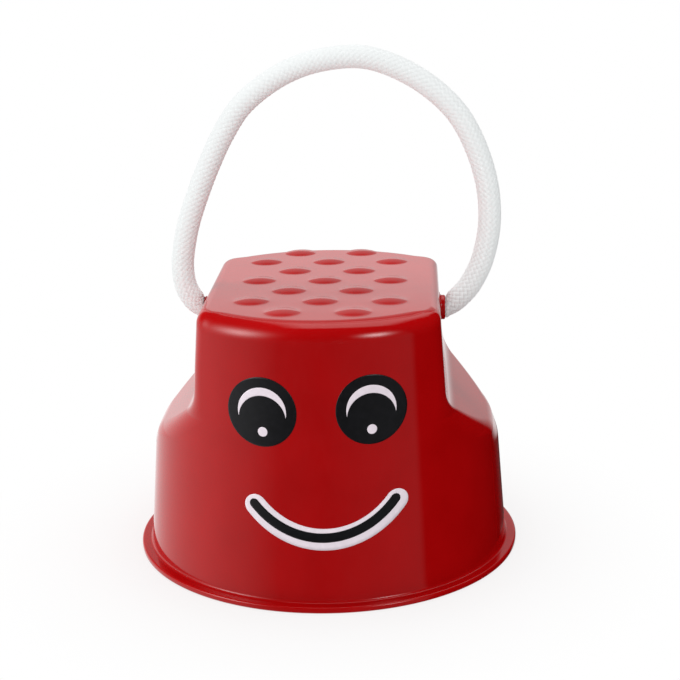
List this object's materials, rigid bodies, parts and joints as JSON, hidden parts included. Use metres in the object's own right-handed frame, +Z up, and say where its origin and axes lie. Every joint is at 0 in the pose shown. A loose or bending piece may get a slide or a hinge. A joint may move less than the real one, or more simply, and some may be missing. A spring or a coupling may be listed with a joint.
{
  "type": "bucket stilt",
  "caption": "Moulded plastic stilt cup with flat-sided tower, grip-bumped deck, printed smiling face and a knotted rope loop to hold.",
  "frame": {"origin": "middle of the base rim, on the surface that the cup stands on", "axes": "+Z up; the printed face looks along -Y; the rope leaves the flat sides along +X and -X"},
  "size_m": [0.155, 0.155, 0.2005],
  "materials": {
    "cup_plastic": "gloss",
    "rope": "braided, soft",
    "dark_print": "printed, glossy",
    "light_print": "printed, glossy"
  },
  "bodies": {
    "cup": {"cup_shell": "cup_plastic", "rope_tail_left": "rope", "rope_tail_right": "rope", "stopper_knot_left": "rope", "stopper_knot_right": "rope", "fused_end_left": "rope", "fused_end_right": "rope", "eye_disc_left": "dark_print", "eye_disc_right": "dark_print", "eye_glint_left": "light_print", "eye_glint_right": "light_print", "smile_outline": "light_print", "smile_line": "dark_print"},
    "rope": {"rope_loop": "rope"}
  },
  "joints": [
    {"name": "rope_swing", "type": "hinge", "parent": "cup", "child": "rope", "pos_m": [0, 0, 0.097], "axis": [1, 0, 0], "range_deg": [-72, 72]}
  ]
}
